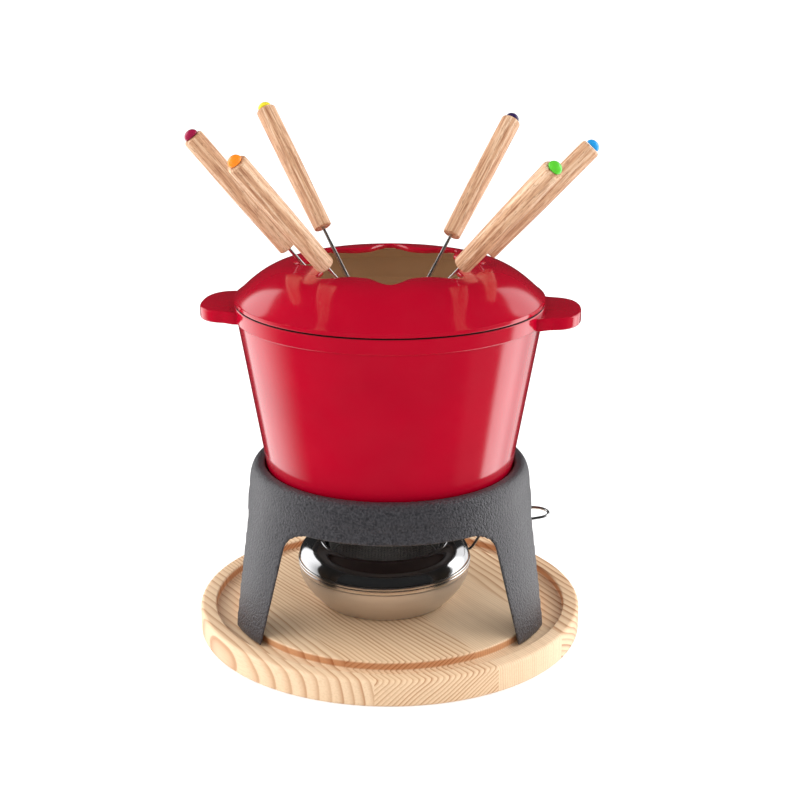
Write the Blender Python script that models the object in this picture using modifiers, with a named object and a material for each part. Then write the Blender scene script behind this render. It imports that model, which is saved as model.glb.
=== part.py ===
"""Fondue set: cast-iron pot with a fork ring, on a three-legged stand over a burner, on a grooved pine board.

Metres, +Z up. The origin is the centre of the board's underside, and -Y is the front.
"""

import math

import bmesh
import bpy
from mathutils import Matrix, Vector

MM = 0.001
GAP = 0.3 * MM                     # clearance between pieces that touch

# Board
BOARD_RADIUS = 130.0 * MM
BOARD_THICKNESS = 17.7 * MM
BOARD_TOP_EDGE = 3.0 * MM
BOARD_LOWER_EDGE = 2.0 * MM
GROOVE_OUTER_RADIUS = 119.4 * MM
GROOVE_INNER_RADIUS = 104.0 * MM
GROOVE_DEPTH = 5.9 * MM
GROOVE_EDGE = 1.0 * MM
GROOVE_FLOOR = BOARD_THICKNESS - GROOVE_DEPTH

# Stand
LEG_COUNT = 3
FIRST_LEG_AZIMUTH = 90.0
STAND_FOOT_RADIUS = 109.8 * MM
STAND_FLARE = 0.1704               # how far the wall moves in for each unit of height
STAND_WALL = 4.6 * MM
STAND_TOP = BOARD_THICKNESS + 100.5 * MM
STAND_SEAT = STAND_TOP - 10.5 * MM
STAND_SEAT_RADIUS = 66.0 * MM      # the hole in the seat
STAND_SEAT_THICKNESS = 5.5 * MM
STAND_MOUTH_RADIUS = 83.9 * MM
STAND_RIM_RADIUS = 87.4 * MM
STAND_SHOULDER = 17.0 * MM         # height of the rounding between wall and rim
STAND_SHOULDER_OUT = 0.8           # powers that make the rounding fuller than a quarter circle
STAND_SHOULDER_UP = 0.9
ARCH_FOOT_HALF_WIDTH = 84.0 * MM
ARCH_LEAN = 0.235                  # how far the arch's side moves in for each unit of height
ARCH_TOP = BOARD_THICKNESS + 74.8 * MM
ARCH_CORNER_RADIUS = 17.0 * MM
ARCH_OVERRUN = 8.0 * MM            # how far the arch's outline runs on below the feet
ARCH_CUTTER_RADIUS = 98.0 * MM
ARCH_CUTTER_HALF_DEPTH = 42.0 * MM

# Pot
POT_BOTTOM = STAND_SEAT + GAP
POT_SEAM = BOARD_THICKNESS + 209.7 * MM
POT_COLLAR_RADIUS = 101.4 * MM
POT_COLLAR_HEIGHT = 10.0 * MM
POT_COLLAR_EDGE = 0.8 * MM
POT_COLLAR_STEP = 4.0 * MM         # height over which the wall widens inside the collar
POT_SHOULDER_RADIUS = 99.9 * MM    # body radius just below the collar
POT_TAPER = 0.1715                 # how far the wall moves in for each unit of depth
POT_WALL = 4.2 * MM
POT_FLOOR_THICKNESS = 5.0 * MM
POT_BOTTOM_ROUNDING = 10.0 * MM
POT_RIM_INNER_RADIUS = 93.8 * MM
EAR_REACH = 124.6 * MM
EAR_ROOT = 99.0 * MM               # where the ear's rounded outline starts
EAR_SINK = 3.6 * MM                # how deep the ear's root is sunk into the collar
EAR_HALF_WIDTH = 30.0 * MM
EAR_THICKNESS = 8.0 * MM
EAR_TOP = POT_SEAM - 2.8 * MM
EAR_EDGE = 2.2 * MM
POT_TURN = -5.0                    # degrees about the vertical, so the right ear points slightly forward

# Fork ring
RING_BOTTOM = POT_SEAM + GAP
RING_RADIUS = 101.4 * MM
RING_EDGE_TOP = BOARD_THICKNESS + 213.0 * MM
RING_LIP_HEIGHT = BOARD_THICKNESS + 234.8 * MM
RING_THICKNESS = 3.8 * MM
RING_CREST_RADIUS = 47.4 * MM      # opening, between the notches
RING_NOTCH_DEPTH = 13.6 * MM
RING_NOTCH_COUNT = 8
RING_NOTCH_POWER = 1.7
RING_DOME_POWER = 3.0
RING_DOME_FALL = 1.19
RING_EDGE = 0.6 * MM
RING_STATIONS = (4.0, 12.6, 20.6, 28.6, 35.6, 41.6, 46.1, 49.6, 52.2)  # mm out from the crests
RING_UNDER_STATIONS = (35.6, 24.6, 12.6)
RING_SPIGOT_RADIUS = 93.2 * MM     # lip under the ring that stands inside the pot's rim
RING_SPIGOT_INNER_RADIUS = 90.2 * MM
RING_SPIGOT_DEPTH = 3.0 * MM

# Forks
FORK_LENGTH = 285.0 * MM
HANDLE_LENGTH = 94.0 * MM
HANDLE_RADIUS = 6.7 * MM
HANDLE_END_RADIUS = 6.1 * MM
HANDLE_ROUNDING = 1.8 * MM
BORE_RADIUS = 1.3 * MM
BORE_DEPTH = 26.0 * MM
TANG_RADIUS = 1.1 * MM
SHAFT_RADIUS = 1.5 * MM
TINE_RADIUS = 0.8 * MM
TINE_HALF_SPACING = 2.3 * MM
TINE_LENGTH = 38.0 * MM
TINE_POINT = 6.0 * MM
TINE_BLUNT = 0.3 * MM
SHAFT_NECK = 34.0 * MM             # length over which the shaft thickens below the handle
TANG_PLAY = 1.0 * MM               # between the tang's end and the bottom of its bore
CAP_RADIUS = 4.6 * MM
CAP_HEIGHT = 4.2 * MM
CAP_EDGE = 0.4 * MM
# Each fork's colour, the place of its handle's top, which way it leans, how far from the vertical, and its
# roll about its own length. No two shafts meet where they cross over the pot.
FORKS = [
    # name, top azimuth, top radius, top height, lean azimuth, lean, roll
    ("yellow", 134.6, 121.7 * MM, 340.8 * MM, 135.2, 37.4, -15.0),
    ("crimson", 187.7, 124.5 * MM, 335.8 * MM, 192.5, 39.1, 15.0),
    ("orange", 222.5, 122.4 * MM, 329.7 * MM, 217.2, 42.1, 30.0),
    ("purple", 46.3, 121.4 * MM, 333.2 * MM, 45.7, 40.3, 15.0),
    ("blue", 0.0, 128.3 * MM, 327.0 * MM, 1.7, 44.1, 4.0),
    ("green", 316.9, 130.8 * MM, 327.1 * MM, 319.4, 44.9, -15.0),
]
CAP_COLOURS = {
    "yellow": (0.80, 0.72, 0.05),
    "crimson": (0.30, 0.01, 0.05),
    "orange": (1.00, 0.26, 0.01),
    "purple": (0.04, 0.02, 0.09),
    "blue": (0.01, 0.28, 0.62),
    "green": (0.10, 0.50, 0.05),
}

# Burner
BURNER_X = -3.7 * MM
BURNER_Y = 0.9 * MM
BURNER_BOTTOM = BOARD_THICKNESS + GAP
SHEET = 1.2 * MM
BOWL_FOOT_RADIUS = 44.0 * MM
BOWL_RADIUS = 58.4 * MM
BOWL_HEIGHT = 24.0 * MM
BAND_HEIGHT = 5.6 * MM
BAND_STAND_OUT = 0.6 * MM
BAND_EDGE = 1.0 * MM
COVER_RIM_RADIUS = 44.0 * MM
COVER_RIM_HEIGHT = 42.3 * MM
COVER_OPENING_RADIUS = 41.2 * MM
COVER_NECK = 4.5 * MM              # height of the opening's turned-in rim
COVER_EDGE = 0.4 * MM
CUP_RADIUS = 38.0 * MM
CUP_HEIGHT = 37.0 * MM
CUP_WALL = 1.0 * MM
WADDING_PLAY = 0.4 * MM
WADDING_TOP = 29.0 * MM
GAUZE_THICKNESS = 1.0 * MM
LOOP_AZIMUTH = 23.5
LOOP_REACH = 127.5 * MM
LOOP_HALF_WIDTH = 10.2 * MM
LOOP_RISE = 42.0 * MM
LOOP_BEND = 15.0 * MM              # length of the double bend that lifts the loop
WIRE_RADIUS = 1.0 * MM

SEGMENTS = 56
CUP_SEGMENTS = 32
SMALL_SEGMENTS = 16
SHAFT_SEGMENTS = 10
POINTS_PER_NOTCH = 9
WELD = 0.01 * MM
SHARP_ANGLE = math.radians(35.0)


def clear_scene():
    for item in list(bpy.data.objects):
        bpy.data.objects.remove(item)


def new_collection(name):
    collection = bpy.data.collections.new(name)
    bpy.context.scene.collection.children.link(collection)
    return collection


clear_scene()
PARTS = new_collection("fondue_set")


def material(name, colour, roughness, metallic=0.0):
    made = bpy.data.materials.new(name)
    made.use_nodes = True
    shader = made.node_tree.nodes["Principled BSDF"]
    shader.inputs["Base Color"].default_value = (*colour, 1.0)
    shader.inputs["Roughness"].default_value = roughness
    shader.inputs["Metallic"].default_value = metallic
    return made


def add_object(name, data):
    item = bpy.data.objects.new(name, data)
    PARTS.objects.link(item)
    return item


def arc(centre, radius, start, end, steps):
    """Points of an arc in a profile, from start to end in degrees, 0 pointing outwards and 90 upwards."""
    points = []
    for i in range(steps + 1):
        angle = math.radians(start + (end - start) * i / steps)
        points.append((centre[0] + radius * math.cos(angle), centre[1] + radius * math.sin(angle)))
    return points


def turned(name, profile, segments=SEGMENTS, closed=False):
    """A body turned about its own Z from (radius, height) points. A closed profile is a ring's section."""
    shape = bmesh.new()
    corners = [shape.verts.new((radius, 0.0, height)) for radius, height in profile]
    for first, second in zip(corners, corners[1:]):
        shape.edges.new((first, second))
    if closed:
        shape.edges.new((corners[-1], corners[0]))
    mesh = bpy.data.meshes.new(name)
    shape.to_mesh(mesh)
    shape.free()
    item = add_object(name, mesh)
    screw = item.modifiers.new("Turn", "SCREW")
    screw.steps = segments
    screw.render_steps = segments
    screw.use_merge_vertices = True
    screw.merge_threshold = WELD
    return item


def boolean(item, cutter, operation):
    modifier = item.modifiers.new(operation.title(), "BOOLEAN")
    modifier.operation = operation
    modifier.object = cutter


def evaluated_mesh(item):
    view = bpy.context.evaluated_depsgraph_get()
    return bpy.data.meshes.new_from_object(item.evaluated_get(view))


def settle(item, surface):
    """Gives the object its finished mesh, smooth between its sharp edges, and drops its tools."""
    bpy.context.view_layer.update()
    mesh = evaluated_mesh(item)
    tools = [modifier.object for modifier in item.modifiers if modifier.type == "BOOLEAN"]
    item.modifiers.clear()
    for tool in tools:
        bpy.data.objects.remove(tool)
    item.data = mesh
    mesh.name = item.name
    mesh.shade_smooth()
    mesh.set_sharp_from_angle(angle=SHARP_ANGLE)
    mesh.materials.clear()
    mesh.materials.append(surface)
    return item


def curve_to_mesh(item):
    """A welded mesh object in the curve's place."""
    bpy.context.view_layer.update()
    mesh = evaluated_mesh(item)
    shape = bmesh.new()
    shape.from_mesh(mesh)
    bmesh.ops.remove_doubles(shape, verts=shape.verts, dist=WELD)
    shape.to_mesh(mesh)
    shape.free()
    name = item.name
    place = item.matrix_world.copy()
    bpy.data.objects.remove(item)
    made = add_object(name, mesh)
    made.matrix_world = place
    return made


def plate(name, outline, half_thickness):
    """A flat plate: an outline in its own XY plane, thickened both ways along its Z."""
    curve = bpy.data.curves.new(name, "CURVE")
    curve.dimensions = "2D"
    curve.fill_mode = "BOTH"
    curve.extrude = half_thickness
    spline = curve.splines.new("POLY")
    spline.points.add(len(outline) - 1)
    for point, (x, y) in zip(spline.points, outline):
        point.co = (x, y, 0.0, 1.0)
    spline.use_cyclic_u = True
    return curve_to_mesh(add_object(name, curve))


def wire(name, path, radii):
    """A round wire along a path, with its own radius at each point."""
    curve = bpy.data.curves.new(name, "CURVE")
    curve.dimensions = "3D"
    curve.bevel_depth = 1.0
    curve.bevel_resolution = 2
    curve.use_fill_caps = True
    spline = curve.splines.new("POLY")
    spline.points.add(len(path) - 1)
    for point, place, radius in zip(spline.points, path, radii):
        point.co = (*place, 1.0)
        point.radius = radius
    return curve_to_mesh(add_object(name, curve))


def pivot(name, place, direction=Vector((0.0, 0.0, 1.0)), sideways=None):
    """An empty on a joint's axis, its Z along the axis."""
    empty = add_object(name, None)
    empty.empty_display_size = 0.02
    along = Vector(direction).normalized()
    if sideways is None:
        sideways = Vector((1.0, 0.0, 0.0))
    across = (sideways - along * sideways.dot(along)).normalized()
    turn = Matrix((across, along.cross(across), along)).transposed()
    empty.matrix_world = Matrix.Translation(place) @ turn.to_4x4()
    bpy.context.view_layer.update()
    return empty


def carry(parent, *items):
    """The items take their places in the parent's own axes."""
    for item in items:
        item.parent = parent


PINE = material("pine", (0.78, 0.58, 0.33), 0.55)
CAST_IRON = material("matte_cast_iron", (0.045, 0.045, 0.05), 0.62)
RED_ENAMEL = material("red_enamel", (0.52, 0.004, 0.010), 0.12)
RING_ENAMEL = material("ring_red_enamel", (0.52, 0.004, 0.010), 0.12)
HANDLE_WOOD = material("pale_handle_wood", (0.66, 0.40, 0.19), 0.5)
FORK_STEEL = material("fork_steel", (0.62, 0.61, 0.60), 0.2, 1.0)
BRUSHED_STEEL = material("brushed_steel", (0.60, 0.57, 0.54), 0.32, 1.0)
POLISHED_STEEL = material("polished_steel", (0.55, 0.55, 0.56), 0.08, 1.0)
WIRE_STEEL = material("wire_steel", (0.60, 0.60, 0.60), 0.22, 1.0)
CUP_STEEL = material("cup_steel", (0.35, 0.34, 0.33), 0.4, 1.0)
WADDING_WHITE = material("wadding", (0.72, 0.70, 0.66), 0.95)
GAUZE_STEEL = material("gauze_steel", (0.40, 0.40, 0.41), 0.45, 1.0)


# ---- Board ----

def make_board():
    top = BOARD_THICKNESS
    profile = [(0.0, top)]
    profile += arc((GROOVE_INNER_RADIUS - GROOVE_EDGE, top - GROOVE_EDGE), GROOVE_EDGE, 90, 0, 2)
    profile += [(GROOVE_INNER_RADIUS, GROOVE_FLOOR), (GROOVE_OUTER_RADIUS, GROOVE_FLOOR)]
    profile += arc((GROOVE_OUTER_RADIUS + GROOVE_EDGE, top - GROOVE_EDGE), GROOVE_EDGE, 180, 90, 2)
    profile += arc((BOARD_RADIUS - BOARD_TOP_EDGE, top - BOARD_TOP_EDGE), BOARD_TOP_EDGE, 90, 0, 4)
    profile += arc((BOARD_RADIUS - BOARD_LOWER_EDGE, BOARD_LOWER_EDGE), BOARD_LOWER_EDGE, 0, -90, 3)
    profile.append((0.0, 0.0))
    settle(turned("base_board", profile), PINE)


# ---- Stand ----

def stand_wall_radius(height):
    return STAND_FOOT_RADIUS - STAND_FLARE * (height - GROOVE_FLOOR)


def arch_outline():
    """The opening between two legs: leaning sides, rounded corners and a level top, from below the feet."""
    foot = GROOVE_FLOOR - ARCH_OVERRUN

    def half_width(height):
        return ARCH_FOOT_HALF_WIDTH - ARCH_LEAN * (height - GROOVE_FLOOR)

    lean_angle = math.degrees(math.atan(ARCH_LEAN))
    turn = 90.0 - lean_angle
    corner_height = ARCH_TOP - ARCH_CORNER_RADIUS
    side = ARCH_CORNER_RADIUS / math.cos(math.radians(lean_angle))
    centre = (half_width(corner_height) - side, corner_height)
    right = [(half_width(foot), foot)]
    right += arc(centre, ARCH_CORNER_RADIUS, 90.0 - turn, 90.0, 5)
    left = [(-x, y) for x, y in reversed(right)]
    return right + left


def make_stand():
    foot = GROOVE_FLOOR + GAP
    shoulder = STAND_TOP - STAND_SHOULDER
    shoulder_radius = stand_wall_radius(shoulder)
    bulge = shoulder_radius - STAND_RIM_RADIUS
    profile = [(STAND_MOUTH_RADIUS, STAND_TOP), (STAND_RIM_RADIUS, STAND_TOP)]
    steps = 5
    for i in range(1, steps):
        angle = math.radians(90.0 * i / steps)
        profile.append((
            STAND_RIM_RADIUS + bulge * math.sin(angle) ** STAND_SHOULDER_OUT,
            shoulder + STAND_SHOULDER * math.cos(angle) ** STAND_SHOULDER_UP,
        ))
    profile.append((shoulder_radius, shoulder))
    profile.append((stand_wall_radius(ARCH_TOP), ARCH_TOP))
    profile.append((STAND_FOOT_RADIUS, foot))
    profile.append((STAND_FOOT_RADIUS - STAND_WALL, foot))
    under_seat = STAND_SEAT - STAND_SEAT_THICKNESS
    profile.append((stand_wall_radius(under_seat) - STAND_WALL, under_seat))
    profile += [(STAND_SEAT_RADIUS, under_seat), (STAND_SEAT_RADIUS, STAND_SEAT)]
    profile.append((STAND_MOUTH_RADIUS, STAND_SEAT))
    stand = turned("stand", profile, closed=True)
    for i in range(LEG_COUNT):
        azimuth = math.radians(FIRST_LEG_AZIMUTH + (i + 0.5) * 360.0 / LEG_COUNT)
        outwards = Vector((math.cos(azimuth), math.sin(azimuth), 0.0))
        sideways = Vector((-math.sin(azimuth), math.cos(azimuth), 0.0))
        upwards = Vector((0.0, 0.0, 1.0))
        cutter = plate(f"arch_cutter_{i + 1}", arch_outline(), ARCH_CUTTER_HALF_DEPTH)
        turn = Matrix((sideways, upwards, outwards)).transposed()
        cutter.matrix_world = Matrix.Translation(outwards * ARCH_CUTTER_RADIUS) @ turn.to_4x4()
        boolean(stand, cutter, "DIFFERENCE")
    settle(stand, CAST_IRON)


# ---- Pot ----

def pot_outer_radius(height):
    return POT_SHOULDER_RADIUS - POT_TAPER * (POT_SEAM - POT_COLLAR_HEIGHT - height)


def pot_inner_radius(height):
    return pot_outer_radius(height) - POT_WALL


def pot_profile():
    """From the centre of the floor, up the inside, over the rim, down the outside and in under the bottom."""
    floor = POT_BOTTOM + POT_FLOOR_THICKNESS
    rounding = POT_BOTTOM_ROUNDING
    lean = math.degrees(math.atan(POT_TAPER))
    inner_centre = (pot_inner_radius(floor) - rounding, floor + rounding)
    collar_bottom = POT_SEAM - POT_COLLAR_HEIGHT
    profile = [(0.0, floor)]
    profile += arc(inner_centre, rounding, -90.0, -lean, 4)
    profile.append((pot_inner_radius(collar_bottom), collar_bottom))
    edge = POT_COLLAR_EDGE
    profile.append((POT_RIM_INNER_RADIUS, collar_bottom + POT_COLLAR_STEP))
    profile.append((POT_RIM_INNER_RADIUS, POT_SEAM))
    profile += arc((POT_COLLAR_RADIUS - edge, POT_SEAM - edge), edge, 90.0, 0.0, 2)
    profile += arc((POT_COLLAR_RADIUS - edge, collar_bottom + edge), edge, 0.0, -60.0, 2)
    profile.append((POT_SHOULDER_RADIUS, collar_bottom))
    outer_centre = (pot_outer_radius(POT_BOTTOM) - rounding, POT_BOTTOM + rounding)
    profile += arc(outer_centre, rounding, -lean, -90.0, 4)
    profile.append((0.0, POT_BOTTOM))
    return profile


def ear_outline():
    """An ear seen from above, pointing along +X, its root inside the pot's wall."""
    root = POT_COLLAR_RADIUS - EAR_SINK
    reach = EAR_REACH - EAR_ROOT
    points = []
    steps = 14
    for i in range(steps + 1):
        angle = math.radians(-90.0 + 180.0 * i / steps)
        across = math.copysign(abs(math.sin(angle)) ** 0.85, math.sin(angle))
        points.append((EAR_ROOT + reach * math.cos(angle) ** 0.62, EAR_HALF_WIDTH * across))
    root_steps = 6
    start = math.asin(EAR_HALF_WIDTH / root)
    for i in range(root_steps + 1):
        angle = start * (1.0 - 2.0 * i / root_steps)
        points.append((root * math.cos(angle), root * math.sin(angle)))
    return points


def make_pot():
    pot = turned("pot", pot_profile())
    for side in range(2):
        ear = plate(f"ear_{side + 1}", ear_outline(), EAR_THICKNESS / 2)
        rounding = ear.modifiers.new("Rounding", "BEVEL")
        rounding.width = EAR_EDGE
        rounding.segments = 2
        rounding.limit_method = "ANGLE"
        rounding.angle_limit = math.radians(50.0)
        ear.rotation_euler[2] = math.pi * side
        ear.location[2] = EAR_TOP - EAR_THICKNESS / 2
        boolean(pot, ear, "UNION")
    settle(pot, RED_ENAMEL)
    pot.rotation_euler[2] = math.radians(POT_TURN)


# ---- Fork ring ----

def ring_top(radius):
    """The height of the ring's top side: nearly level at the lip and falling steeply at the edge."""
    across = (radius - RING_CREST_RADIUS) / (RING_RADIUS - RING_CREST_RADIUS)
    across = min(max(across, 0.0), 1.0)
    fall = (1.0 - across ** RING_DOME_POWER) ** RING_DOME_FALL
    return RING_EDGE_TOP + (RING_LIP_HEIGHT - RING_EDGE_TOP) * fall


def opening_radius(azimuth):
    """The ring's opening: a crest between every two notches."""
    wave = (1.0 + math.cos(RING_NOTCH_COUNT * azimuth)) / 2
    return RING_CREST_RADIUS + RING_NOTCH_DEPTH * wave ** RING_NOTCH_POWER


def make_ring():
    inside = RING_CREST_RADIUS - 3.0 * MM
    radii = [inside] + [RING_CREST_RADIUS + out * MM for out in RING_STATIONS] + [RING_RADIUS]
    profile = [(radius, ring_top(radius)) for radius in radii]
    profile.append((RING_RADIUS, RING_BOTTOM + RING_EDGE))
    profile.append((RING_RADIUS - RING_EDGE, RING_BOTTOM))
    profile.append((RING_SPIGOT_RADIUS, RING_BOTTOM))
    profile.append((RING_SPIGOT_RADIUS, RING_BOTTOM - RING_SPIGOT_DEPTH))
    profile.append((RING_SPIGOT_INNER_RADIUS, RING_BOTTOM - RING_SPIGOT_DEPTH))
    under = [RING_SPIGOT_INNER_RADIUS]
    under += [RING_CREST_RADIUS + out * MM for out in RING_UNDER_STATIONS] + [inside]
    profile += [(radius, ring_top(radius) - RING_THICKNESS) for radius in under]
    ring = turned("splash_ring", profile, closed=True)
    points = POINTS_PER_NOTCH * RING_NOTCH_COUNT
    outline = []
    for i in range(points):
        azimuth = 2.0 * math.pi * i / points
        radius = opening_radius(azimuth)
        outline.append((radius * math.cos(azimuth), radius * math.sin(azimuth)))
    cutter = plate("opening_cutter", outline, RING_LIP_HEIGHT - RING_EDGE_TOP)
    cutter.location[2] = RING_LIP_HEIGHT
    boolean(ring, cutter, "DIFFERENCE")
    settle(ring, RING_ENAMEL)


# ---- Forks ----

def handle_profile():
    """From the crown of the handle, down the outside and up into the bore for the tang."""
    length = HANDLE_LENGTH
    rounding = HANDLE_ROUNDING
    profile = [(0.0, length)]
    profile += arc((HANDLE_RADIUS - rounding, length - rounding), rounding, 90.0, 0.0, 3)
    profile.append((HANDLE_RADIUS, length * 0.5))
    profile.append((HANDLE_RADIUS - 0.2 * MM, length * 0.2))
    profile += arc((HANDLE_END_RADIUS - rounding, rounding), rounding, 0.0, -90.0, 3)
    profile += [(BORE_RADIUS, 0.0), (BORE_RADIUS, BORE_DEPTH), (0.0, BORE_DEPTH)]
    return profile


def shaft_profile(crotch):
    """From the tang's end inside the handle down to where the tines part."""
    return [
        (0.0, BORE_DEPTH - TANG_PLAY),
        (TANG_RADIUS, BORE_DEPTH - TANG_PLAY),
        (TANG_RADIUS, -TANG_PLAY),
        (SHAFT_RADIUS, -SHAFT_NECK),
        (SHAFT_RADIUS, crotch),
        (TINE_RADIUS, crotch - TINE_RADIUS),
        (0.0, crotch - TINE_RADIUS),
    ]


def tine_path(crotch, tip):
    """Both tines as one wire: up from one tip, round the crotch and down to the other."""
    spread = TINE_HALF_SPACING
    bend = arc((0.0, crotch - spread), spread, 180.0, 0.0, 8)
    left = [(-spread, tip), (-spread, tip + TINE_POINT)]
    right = [(spread, tip + TINE_POINT), (spread, tip)]
    path = [(x, 0.0, z) for x, z in left + bend + right]
    radii = [TINE_BLUNT] + [TINE_RADIUS] * (len(path) - 2) + [TINE_BLUNT]
    return path, radii


def cap_profile():
    """A low dome on a flat base."""
    profile = [(0.0, CAP_HEIGHT)]
    steps = 4
    for i in range(1, steps):
        angle = math.radians(90.0 * i / steps)
        profile.append((CAP_RADIUS * math.sin(angle), CAP_HEIGHT * math.cos(angle)))
    return profile + [(CAP_RADIUS, CAP_EDGE), (CAP_RADIUS - CAP_EDGE, 0.0), (0.0, 0.0)]


def make_fork(colour, azimuth, radius, height, lean_azimuth, lean, roll):
    top = Vector((
        radius * math.cos(math.radians(azimuth)),
        radius * math.sin(math.radians(azimuth)),
        height,
    ))
    heading = math.radians(lean_azimuth)
    tilt = math.radians(lean)
    along = Vector((math.sin(tilt) * math.cos(heading), math.sin(tilt) * math.sin(heading), math.cos(tilt)))
    level = Vector((-math.sin(heading), math.cos(heading), 0.0))
    sideways = Matrix.Rotation(math.radians(roll), 3, along) @ level
    axis = pivot(f"axis_fork_{colour}", top - along * HANDLE_LENGTH, along, sideways)
    tip = HANDLE_LENGTH - FORK_LENGTH
    crotch = tip + TINE_LENGTH
    handle = turned(f"fork_{colour}_handle", handle_profile(), SMALL_SEGMENTS)
    settle(handle, HANDLE_WOOD)
    shaft = turned(f"fork_{colour}_shaft", shaft_profile(crotch), SHAFT_SEGMENTS)
    path, radii = tine_path(crotch, tip)
    boolean(shaft, wire(f"tines_{colour}", path, radii), "UNION")
    settle(shaft, FORK_STEEL)
    cap = turned(f"fork_{colour}_cap", cap_profile(), SMALL_SEGMENTS)
    settle(cap, material(f"cap_{colour}", CAP_COLOURS[colour], 0.2))
    cap.location[2] = HANDLE_LENGTH + GAP
    carry(axis, handle, shaft, cap)


# ---- Burner ----

def bowl_profile():
    """A pressed bowl of one thickness, from the centre of its floor out to the rim and back underneath."""
    steps = 6
    outer = []
    for i in range(steps + 1):
        share = i / steps
        radius = BOWL_FOOT_RADIUS + (BOWL_RADIUS - BOWL_FOOT_RADIUS) * math.sin(math.pi / 2 * share)
        outer.append((radius, BOWL_HEIGHT * share))
    inner = [(radius - SHEET, height) for radius, height in outer[1:]]
    floor = [(0.0, SHEET), (BOWL_FOOT_RADIUS - SHEET, SHEET)]
    return floor + inner + outer[::-1] + [(0.0, 0.0)]


def band_profile(bottom):
    """The regulator's section: a flat band whose outer edges are chamfered."""
    top = bottom + BAND_HEIGHT
    inner = BOWL_RADIUS - SHEET
    outer = BOWL_RADIUS + BAND_STAND_OUT
    shoulder = outer - BAND_EDGE / 2
    return [
        (inner, top), (shoulder, top), (outer, top - BAND_EDGE),
        (outer, bottom + BAND_EDGE), (shoulder, bottom), (inner, bottom),
    ]


def cover_profile(bottom):
    """The domed cover's section, with the opening's rim turned down inside it."""
    rise = COVER_RIM_HEIGHT - bottom
    run = BOWL_RADIUS - COVER_RIM_RADIUS
    outer = arc_of_ellipse((COVER_RIM_RADIUS, bottom), run, rise, 90.0, 0.0)
    lower = arc_of_ellipse((COVER_RIM_RADIUS, bottom), run - SHEET, rise - SHEET, 0.0, 90.0)
    neck = COVER_RIM_HEIGHT - COVER_NECK
    outside_neck = COVER_OPENING_RADIUS + SHEET
    return outer + lower + [
        (outside_neck, COVER_RIM_HEIGHT - SHEET),
        (outside_neck, neck),
        (COVER_OPENING_RADIUS, neck),
        (COVER_OPENING_RADIUS, COVER_RIM_HEIGHT - COVER_EDGE),
        (COVER_OPENING_RADIUS + COVER_EDGE, COVER_RIM_HEIGHT),
    ]


def arc_of_ellipse(centre, out, up, start, end, steps=6):
    """Points of a quarter of an ellipse in a profile, from start to end in degrees."""
    points = []
    for x, z in arc((0.0, 0.0), 1.0, start, end, steps):
        points.append((centre[0] + out * x, centre[1] + up * z))
    return points


def disc_profile(radius, bottom, top):
    return [(0.0, top), (radius, top), (radius, bottom), (0.0, bottom)]


def cup_profile(bottom, wall):
    floor = bottom + CUP_WALL
    inside = [(0.0, floor), (wall, floor), (wall, CUP_HEIGHT)]
    return inside + [(CUP_RADIUS, CUP_HEIGHT), (CUP_RADIUS, bottom), (0.0, bottom)]


def make_burner():
    axis = pivot("axis_burner", (BURNER_X, BURNER_Y, BURNER_BOTTOM))
    band_bottom = BOWL_HEIGHT + GAP
    cover_bottom = band_bottom + BAND_HEIGHT + GAP
    cup_bottom = SHEET + GAP
    cup_wall = CUP_RADIUS - CUP_WALL
    fill = cup_wall - WADDING_PLAY
    wadding_bottom = cup_bottom + CUP_WALL + GAP
    gauze_bottom = WADDING_TOP + GAP

    bowl = turned("burner_bowl", bowl_profile())
    settle(bowl, BRUSHED_STEEL)
    regulator = turned("burner_regulator", band_profile(band_bottom), closed=True)
    settle(regulator, BRUSHED_STEEL)
    cover = turned("burner_cover", cover_profile(cover_bottom), closed=True)
    settle(cover, POLISHED_STEEL)
    cup = turned("burner_cup", cup_profile(cup_bottom, cup_wall), CUP_SEGMENTS)
    settle(cup, CUP_STEEL)
    wadding = turned("burner_wadding", disc_profile(fill, wadding_bottom, WADDING_TOP), CUP_SEGMENTS)
    settle(wadding, WADDING_WHITE)
    gauze_top = gauze_bottom + GAUZE_THICKNESS
    gauze = turned("burner_gauze", disc_profile(fill, gauze_bottom, gauze_top), CUP_SEGMENTS)
    settle(gauze, GAUZE_STEEL)
    handle = make_loop(band_bottom + BAND_HEIGHT / 2)
    carry(axis, bowl, regulator, cover, cup, wadding, gauze, handle)


def make_loop(band_height):
    """The wire handle: out from the band, up, along and round its end, and back the same way."""
    start = BOWL_RADIUS + BAND_STAND_OUT + GAP
    reach = LOOP_REACH - WIRE_RADIUS
    bend = LOOP_HALF_WIDTH
    side = []
    steps = 6
    for i in range(steps + 1):
        share = i / steps
        rise = share * share * (3.0 - 2.0 * share)
        side.append((start + LOOP_BEND * share, band_height + (LOOP_RISE - band_height) * rise))
    path = [(x, -bend, z) for x, z in side]
    path += [(x, y, LOOP_RISE) for x, y in arc((reach - bend, 0.0), bend, -90.0, 90.0, 12)]
    path += [(x, bend, z) for x, z in reversed(side)]
    loop = wire("burner_handle", path, [WIRE_RADIUS] * len(path))
    settle(loop, WIRE_STEEL)
    loop.rotation_euler[2] = math.radians(LOOP_AZIMUTH)
    return loop


make_board()
make_stand()
make_pot()
make_ring()
for fork in FORKS:
    make_fork(*fork)
make_burner()
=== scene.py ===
"""Fondue set: detailed pieces, materials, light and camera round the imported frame.

Metres, +Z up, and the front faces -Y.
"""

import math

import bmesh
import bpy
from mathutils import Matrix, Vector, noise


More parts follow.
